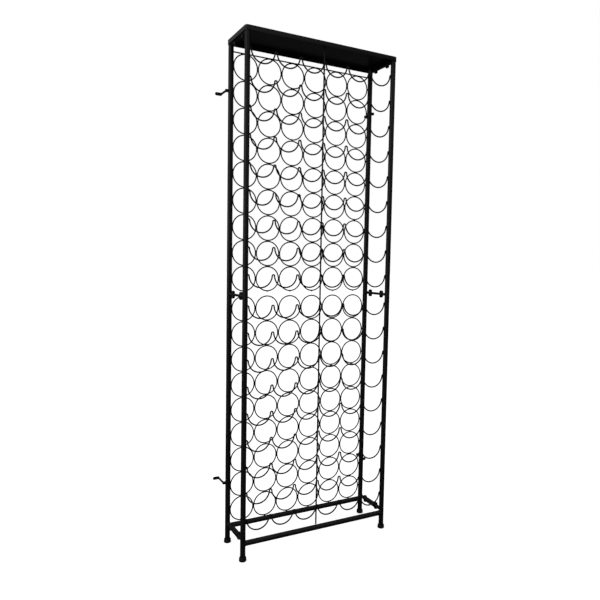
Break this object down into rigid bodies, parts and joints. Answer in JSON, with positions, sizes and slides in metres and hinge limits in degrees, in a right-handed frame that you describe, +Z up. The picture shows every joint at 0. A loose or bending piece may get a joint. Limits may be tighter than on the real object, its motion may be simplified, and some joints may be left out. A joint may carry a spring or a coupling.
{
  "type": "wine rack",
  "caption": "Tall free-standing steel wine rack: rear sheet of welded wire rings, front wire neck cradles, round tube posts, flat sheet top, side ties and wall brackets.",
  "frame": {"origin": "on the floor, at the centre of the whole object's box in plan, wall brackets included", "axes": "+Z up, -Y out of the front where the bottle necks lie, +Y towards the wall, +X to the right seen from the front"},
  "size_m": [0.6954, 0.242, 1.9184],
  "materials": {
    "post_coat": "satin black powder coat on round steel tube",
    "panel_coat": "satin black powder coat on folded steel sheet",
    "wire_coat": "satin black powder coat on steel wire, with small welds",
    "fitting_coat": "satin black coat on turned and bent steel fittings",
    "foot_rubber": "matt black moulded rubber"
  },
  "bodies": {
    "root": {"post_front_left_lower": "post_coat", "post_front_left_upper": "post_coat", "post_coupler_front_left": "post_coat", "foot_front_left": "foot_rubber", "post_front_right_lower": "post_coat", "post_front_right_upper": "post_coat", "post_coupler_front_right": "post_coat", "foot_front_right": "foot_rubber", "post_rear_left_lower": "post_coat", "post_rear_left_upper": "post_coat", "post_coupler_rear_left": "post_coat", "foot_rear_left": "foot_rubber", "post_rear_right_lower": "post_coat", "post_rear_right_upper": "post_coat", "post_coupler_rear_right": "post_coat", "foot_rear_right": "foot_rubber", "bottom_rail_front": "post_coat", "bottom_rail_rear": "post_coat", "side_tie_left_bottom": "post_coat", "side_tie_left_middle": "post_coat", "side_tie_left_top": "post_coat", "wall_bracket_left_lower": "fitting_coat", "wall_bracket_left_upper": "fitting_coat", "side_tie_right_bottom": "post_coat", "side_tie_right_middle": "post_coat", "side_tie_right_top": "post_coat", "wall_bracket_right_lower": "fitting_coat", "wall_bracket_right_upper": "fitting_coat", "top_panel": "panel_coat", "ring_panel_rows_16_to_18": "wire_coat", "ring_panel_rows_13_to_15": "wire_coat", "ring_panel_rows_10_to_12": "wire_coat", "ring_panel_rows_07_to_09": "wire_coat", "ring_panel_rows_04_to_06": "wire_coat", "ring_panel_rows_01_to_03": "wire_coat", "cradle_wire_row_18": "wire_coat", "cradle_wire_row_17": "wire_coat", "cradle_wire_row_16": "wire_coat", "cradle_wire_row_15": "wire_coat", "cradle_wire_row_14": "wire_coat", "cradle_wire_row_13": "wire_coat", "cradle_wire_row_12": "wire_coat", "cradle_wire_row_11": "wire_coat", "cradle_wire_row_10": "wire_coat", "cradle_wire_row_09": "wire_coat", "cradle_wire_row_08": "wire_coat", "cradle_wire_row_07": "wire_coat", "cradle_wire_row_06": "wire_coat", "cradle_wire_row_05": "wire_coat", "cradle_wire_row_04": "wire_coat", "cradle_wire_row_03": "wire_coat", "cradle_wire_row_02": "wire_coat", "cradle_wire_row_01": "wire_coat", "rear_top_wire": "wire_coat", "centre_rod_lower": "wire_coat", "centre_rod_upper": "wire_coat"}
  },
  "joints": []
}
